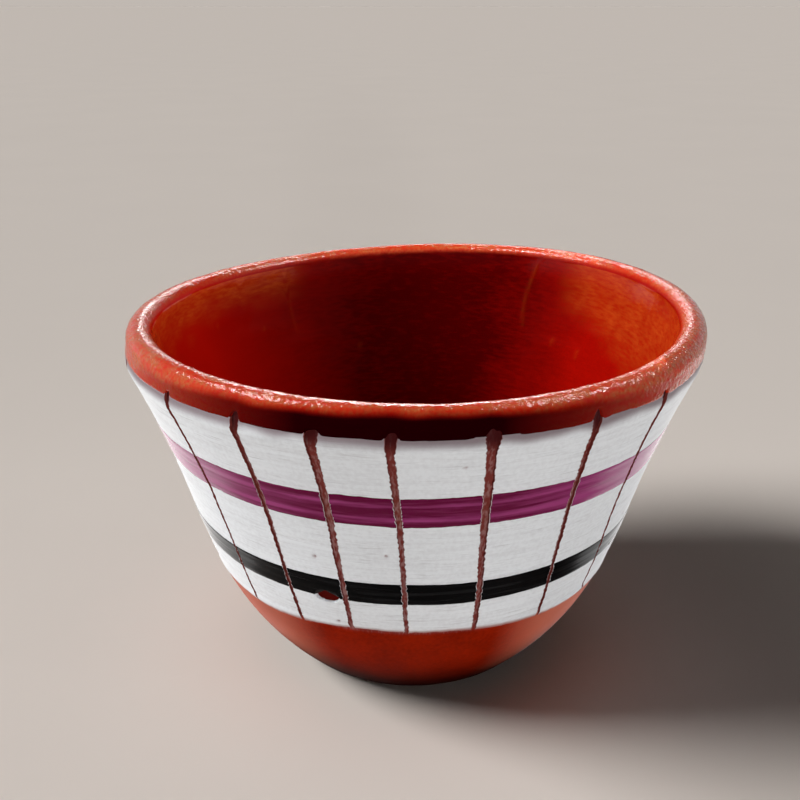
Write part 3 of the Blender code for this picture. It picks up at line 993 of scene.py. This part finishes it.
    def wear(self, angle, along, inside):
        """How far the lip and the band below it are rubbed brown, from 0 to 1, in short streaks."""
        streaks = lumps(angle, along, 4 * MM, 0.4 * MM, SEED_GLAZE + 5)
        streaks = streaks + 0.7 * lumps(angle, along, 1.2 * MM, 0.5 * MM, SEED_GLAZE + 10)
        return (1 - inside) * np.clip(0.65 + 0.35 * streaks, 0.0, 1.0)

    def dark_band_and_shade_share(self, angle, height, inside):
        """How dark the band below the lip is, from 0 to 1: dark glaze with painted shade, most at the
        front.
        """
        uneven = 0.08 * lumps(angle, 0.0, 14 * MM, MM, SEED_GLAZE + 6)
        stretches = np.clip((np.cos(angle + math.radians(2)) - 0.5) / 0.45 + uneven, 0.0, 1.0)
        top = lip_height() + 1.4 * MM - 2.6 * MM * (1 - np.cos(angle))
        top = top + 0.2 * MM * lumps(angle, 0.0, 2.5 * MM, MM, SEED_GLAZE + 7)
        low = 1 - smooth(height - top, -0.9 * MM, 0.3 * MM)
        return (1 - inside) * low * stretches

    def under_face(self, angle, edge):
        """Radius and height of the hidden under face, from the axis to the lower edge outside."""
        thickness = sizes().glaze
        inner_radius, inner_height = inner_section(thickness, 12, 6)
        lip_radius, lip_up = lip_section(np.linspace(math.pi, 0.0, 7)[1:], thickness)
        radius = np.concatenate((inner_radius[::-1], lip_radius))[:, None] + 0.0 * angle
        height = np.concatenate((inner_height[::-1], lip_up))[:, None] + 0.0 * angle
        edge_radius = radius_under(edge, thickness)
        return np.concatenate((radius, edge_radius[None])), np.concatenate((height, edge[None]))


class CUP_OT_slip_panels(bpy.types.Operator):
    """The white slip between the scratched lines"""

    bl_idname = "cup.slip_panels"
    bl_label = "White slip"

    def execute(self, context):
        """One thin coat for each stretch between two scratched lines."""
        material = brushed_slip()
        for index in range(LINE_COUNT):
            self.panel(index, material)
        return {"FINISHED"}

    def panel(self, index, material):
        """A stretch of slip: a grid across and up the wall, whose lower edge follows the brush."""
        share = np.linspace(0.0, 1.0, SLIP_ROWS)
        level = SLIP_LOW + (SLIP_HIGH + 0.35 * MM - SLIP_LOW) * share
        angle, left, across = panel_angles(index, level, SLIP_COLUMNS, 0.0)
        height = level[:, None] + (slip_foot(angle) - SLIP_LOW) * (1 - share[:, None]) ** 3
        radius = outside(height)[0]
        from_end = np.minimum(angle - left[:, None], (left + across)[:, None] - angle) * radius
        outer = on_wall(angle, height, slip_depth(angle, height, from_end))
        few = left[:, None] + across[:, None] * np.linspace(0.0, 1.0, 8)
        few_height = level[:, None] + (slip_foot(few) - SLIP_LOW) * (1 - share[:, None]) ** 3
        under = on_wall(few, few_height, clay_depth(few_height) + SLIP_SINK)
        thin = 1 - smooth(height - slip_foot(angle), 0.0, 0.75 * MM)
        # Painted shade, partly thin slip: the slip's top darkens under the lip, to a wandering edge
        top_wander = 0.35 * MM * lumps(angle, 0.0, 3 * MM, MM, SEED_BRUSH + 4)
        thin_top_and_shade = 0.85 * smooth(height + top_wander, SLIP_HIGH - 1.5 * MM, SLIP_HIGH)
        cut_side = np.exp(-((from_end / (0.05 * MM)) ** 2))
        bare = np.maximum(pit_mask(angle, height), cut_side)
        bare = np.maximum(bare, chip_mask(angle, height, -CHIP_RIM))
        marks = {"thin": thin, "thin_top_and_shade": thin_top_and_shade, "bare": bare}
        name = f"slip_panel_{index + 1:02d}"
        coat_piece(name, outer, under, material, "white_slip_coat", marks)


def paint_stripe(name, low, high, ragged, seed, rows, material):
    """The lengths of a painted stripe, each a thin coat on the slip between two scratched lines.

    Both edges wander slowly and are ragged to a given height. The ends stop short of the slip's own ends,
    so that a pale burr of slip shows along each scratched line.
    """
    share = np.linspace(0.0, 1.0, rows)
    level = low + (high - low) * share
    few = np.append(np.arange(0, PAINT_COLUMNS - PAINT_UNDER_STEP, PAINT_UNDER_STEP), PAINT_COLUMNS - 1)
    for index in range(LINE_COUNT):
        angle, left, across = panel_angles(index, level, PAINT_COLUMNS, PAINT_INSET)
        slow = 0.10 * MM * lumps(angle, 0.0, 7 * MM, MM, seed)
        lower = slow + ragged * lumps(angle, 0.0, 0.6 * MM, MM, seed + 1)
        upper = slow + ragged * lumps(angle, 0.0, 0.6 * MM, MM, seed + 2)
        if name == "black":
            lower = np.maximum(lower, chip_top(angle) - low)
        height = level[:, None] + lower * (1 - share[:, None]) + upper * share[:, None]
        slip_left = left - PAINT_INSET / outside(level)[0]
        slip_right = left + across + PAINT_INSET / outside(level)[0]
        radius = outside(height)[0]
        from_end = np.minimum(angle - slip_left[:, None], slip_right[:, None] - angle) * radius
        depth = slip_depth(angle, height, from_end)
        rim = smooth(share[:, None], 0.0, 0.06) * (1 - smooth(share[:, None], 0.94, 1.0))
        outer = on_wall(angle, height, depth - sizes().paint * (0.3 + 0.7 * rim))
        under = on_wall(angle, height, depth + PAINT_SINK)[:, few]
        stroke_and_sheen = brush_stroke_and_sheen(share[:, None], angle, seed)
        piece = f"{name}_length_{index + 1:02d}"
        node = f"{name}_stripe_{index + 1:02d}"
        coat_piece(piece, outer, under, material, node, {"stroke_and_sheen": stroke_and_sheen})


def chip_top(angle):
    """Height that the black paint keeps above the chip, with a rim of bare slip round it."""
    middle, level, half_length, half_height = CHIP
    radius = outside(np.array(level))[0]
    along = turn_between(angle, middle) * radius / (half_length + CHIP_RIM)
    dome = np.sqrt(np.clip(1 - along ** 2, 0.0, 1.0)) * (half_height + 0.14 * MM)
    return np.where(np.abs(along) < 1, level + dome, 0.0)


def brush_stroke_and_sheen(share, angle, seed):
    """How pale the paint is: dense at the edges and core of the brushed band, thin between, and paler
    towards the cup's sides as painted sheen.
    """
    drift = 0.05 * lumps(angle, 0.0, 11 * MM, MM, seed + 3)
    upper = np.exp(-(((share - 0.74 + drift) / 0.07) ** 2))
    lower = np.exp(-(((share - 0.27 + drift) / 0.09) ** 2))
    fades = 0.5 + 0.5 * lumps(angle, 0.0, 6 * MM, MM, seed + 4)
    # Painted sheen: the purple pales towards the cup's sides, more at +X
    sides = (0.4 + 0.2 * smooth(np.sin(angle), 0.0, 0.4)) * smooth(np.abs(np.sin(angle)), 0.25, 0.8)
    return 0.7 * fades * upper + 0.6 * (1 - 0.6 * fades) * lower + sides


class CUP_OT_purple_stripe(bpy.types.Operator):
    """The purple stripe, in lengths"""

    bl_idname = "cup.purple_stripe"
    bl_label = "Purple stripe"

    def execute(self, context):
        """Thin coats of purple between the scratched lines."""
        material = purple_underglaze()
        paint_stripe("purple", PURPLE_LOW, PURPLE_HIGH, 0.07 * MM, SEED_EDGES + 10, PURPLE_ROWS, material)
        return {"FINISHED"}


class CUP_OT_black_stripe(bpy.types.Operator):
    """The black stripe, in lengths"""

    bl_idname = "cup.black_stripe"
    bl_label = "Black stripe"

    def execute(self, context):
        """Thin coats of black between the scratched lines."""
        material = black_underglaze()
        paint_stripe("black", BLACK_LOW, BLACK_HIGH, 0.035 * MM, SEED_EDGES + 20, BLACK_ROWS, material)
        return {"FINISHED"}


# Soft boxes: name, place, aim, width, height, brightness as seen, and whether it lights and is mirrored
SOFT_BOXES = (
    ("mouth_fill", (0.0, 0.0, 0.09), (0.0, 0.0, 0.0), 0.05, 0.05, 1.9, True, False),
    ("rim_fill", (0.026, 0.0, 0.060), (-0.034, 0.0, 0.044), 0.05, 0.02, 1.5, True, False),
    ("left_card", (-0.0625, 0.0275, 0.001), (-0.0625, 0.0275, 1.0), 0.085, 0.085, 1.75, False, True),
    ("right_card", (0.0575, 0.0305, 0.001), (0.0575, 0.0305, 1.0), 0.085, 0.085, 1.7, False, True),
    ("right_far_card", (0.15, 0.06, 0.001), (0.15, 0.06, 1.0), 0.10, 0.10, 0.8, False, True),
    ("left_panel", (-0.45, 0.14, 0.25), (0.0, 0.14, 0.10), 0.72, 0.50, 0.40, False, True),
    ("right_panel", (0.45, 0.14, 0.25), (0.0, 0.14, 0.10), 0.72, 0.50, 0.40, False, True),
    ("back_panel", (0.0, 0.62, 0.13), (0.0, 0.0, 0.05), 1.80, 0.30, 0.5, False, True),
    ("back_wide", (0.0, 0.50, 0.225), (0.0, 0.0, 0.05), 0.34, 0.06, 5.0, False, True),
    ("back_strip", (-0.02, 0.50, 0.295), (0.0, 0.0, 0.05), 0.20, 0.12, 20.0, False, True),
    ("left_glint", (-0.27, 0.08, 0.46), (0.0, 0.0, 0.05), 0.12, 0.12, 60.0, False, True),
    ("right_glint", (0.27, 0.08, 0.46), (0.0, 0.0, 0.05), 0.12, 0.12, 45.0, False, True),
)

# Far lights: name, the way to each, its strength on a surface square to it, and how wide it looks
FAR_LIGHTS = (
    ("key_light", (-0.79, -0.03, 0.61), 3.5, math.radians(26)),
    ("front_fill", (0.08, -1.0, 0.045), 1.42, math.radians(5)),
    ("right_fill", (1.0, -0.16, 0.045), 0.60, math.radians(5)),
)

# Camera: place, how far it looks down and is turned, and focal length and sensor width in millimetres
CAMERA_PLACE = (0.0, -129.8 * MM, 87.4 * MM)
CAMERA_DOWN = math.radians(21.65)
CAMERA_TURN = math.radians(0.746)
CAMERA_LENS = 45.0
CAMERA_SENSOR = 36.0

# Half width of the table in metres, and the light of the surroundings on surfaces and in their gloss
TABLE_HALF = 30.0
AMBIENT = (0.016, 0.012, 0.010)
GLOSS_AMBIENT = 0.06


class CUP_OT_stage(bpy.types.Operator):
    """The table, the studio lights, the surroundings and the camera"""

    bl_idname = "cup.stage"
    bl_label = "Stage"

    def execute(self, context):
        """Pale table, two fills in the mouth, panels that the gloss mirrors, far lights and a camera."""
        self.table(context)
        for box in SOFT_BOXES:
            self.soft_box(context, *box)
        for far in FAR_LIGHTS:
            self.far_light(context, *far)
        self.surroundings(context)
        self.camera(context)
        context.scene.view_settings.view_transform = "Standard"
        return {"FINISHED"}

    def table(self, context):
        """A flat square far wider than the view."""
        corners = TABLE_HALF * np.array([(-1, -1, 0), (1, -1, 0), (1, 1, 0), (-1, 1, 0)])
        mesh = bpy.data.meshes.new("table_top")
        mesh.from_pydata(corners.tolist(), [], [(0, 1, 2, 3)])
        mesh.materials.append(table_top())
        table = bpy.data.objects.new("table_top", mesh)
        context.collection.objects.link(table)

    def soft_box(self, context, name, place, aim, width, height, brightness, lighting, mirrored):
        """An area light of a given brightness as seen, turned to face its aim."""
        light = bpy.data.lights.new(name, "AREA")
        light.shape = "RECTANGLE"
        light.size = width
        light.size_y = height
        light.energy = math.pi * width * height * brightness
        lamp = bpy.data.objects.new(name, light)
        lamp.location = place
        lamp.rotation_euler = (Vector(aim) - Vector(place)).to_track_quat("-Z", "Y").to_euler()
        lamp.visible_camera = False
        lamp.visible_diffuse = lighting
        lamp.visible_glossy = mirrored
        context.collection.objects.link(lamp)

    def far_light(self, context, name, way, strength, width):
        """A far light that gloss doesn't mirror: the key from the left and above, or a low fill."""
        light = bpy.data.lights.new(name, "SUN")
        light.energy = strength
        light.angle = width
        lamp = bpy.data.objects.new(name, light)
        lamp.visible_glossy = False
        lamp.rotation_euler = (-Vector(way)).to_track_quat("-Z", "Y").to_euler()
        context.collection.objects.link(lamp)

    def surroundings(self, context):
        """Pale to the camera, dim in the gloss, and an even light on everything else."""
        world = bpy.data.worlds.new("soft_surroundings")
        world.use_nodes = True
        context.scene.world = world
        tree = world.node_tree
        in_gloss = add_node(tree, "LightPath", {}, "Is Glossy Ray")
        in_view = add_node(tree, "LightPath", {}, "Is Camera Ray")
        pale = colours()["backdrop"]
        even = (*AMBIENT, 1.0)
        dim = (GLOSS_AMBIENT, GLOSS_AMBIENT, GLOSS_AMBIENT, 1.0)
        light = add_node(tree, "Mix", {0: in_gloss, 6: even, 7: dim}, 2, data_type="RGBA")
        seen = add_node(tree, "Mix", {0: in_view, 6: light, 7: pale}, 2, data_type="RGBA")
        tree.links.new(seen, tree.nodes["Background"].inputs["Color"])

    def camera(self, context):
        """A camera a little above the rim, in front of the cup."""
        lens = bpy.data.cameras.new("camera")
        lens.lens = CAMERA_LENS
        lens.sensor_width = CAMERA_SENSOR
        lens.clip_start = MM
        camera = bpy.data.objects.new("camera", lens)
        camera.location = CAMERA_PLACE
        camera.rotation_euler = (math.pi / 2 - CAMERA_DOWN, 0.0, CAMERA_TURN)
        context.collection.objects.link(camera)
        context.scene.camera = camera


OPERATORS = (
    CUP_OT_clay_body,
    CUP_OT_glaze_lining,
    CUP_OT_slip_panels,
    CUP_OT_purple_stripe,
    CUP_OT_black_stripe,
    CUP_OT_stage,
)


class CUP_PT_sidebar(bpy.types.Panel):
    """The cup's steps, sizes and colours"""

    bl_idname = "CUP_PT_sidebar"
    bl_label = "Coffee cup"
    bl_space_type = "VIEW_3D"
    bl_region_type = "UI"
    bl_category = "Cup"

    def draw(self, context):
        """A button for each step, then every size and colour."""
        for operator in OPERATORS:
            self.layout.operator(operator.bl_idname)
        for name in CupSizes.__annotations__:
            self.layout.prop(context.scene.cup_sizes, name)
        for name in CupColours.__annotations__:
            self.layout.prop(context.scene.cup_colours, name)


CLASSES = (CupSizes, CupColours, *OPERATORS, CUP_PT_sidebar)


def register():
    """Registers the classes and hangs the sizes and colours on the scene."""
    for cls in CLASSES:
        bpy.utils.register_class(cls)
    bpy.types.Scene.cup_sizes = bpy.props.PointerProperty(type=CupSizes)
    bpy.types.Scene.cup_colours = bpy.props.PointerProperty(type=CupColours)


def unregister():
    """Takes everything off again."""
    del bpy.types.Scene.cup_colours
    del bpy.types.Scene.cup_sizes
    for cls in reversed(CLASSES):
        bpy.utils.unregister_class(cls)


def main():
    """Builds the cup step by step."""
    register()
    bpy.ops.cup.clay_body()
    bpy.ops.cup.glaze_lining()
    bpy.ops.cup.slip_panels()
    bpy.ops.cup.purple_stripe()
    bpy.ops.cup.black_stripe()
    bpy.ops.cup.stage()


if __name__ == "__main__":
    main()
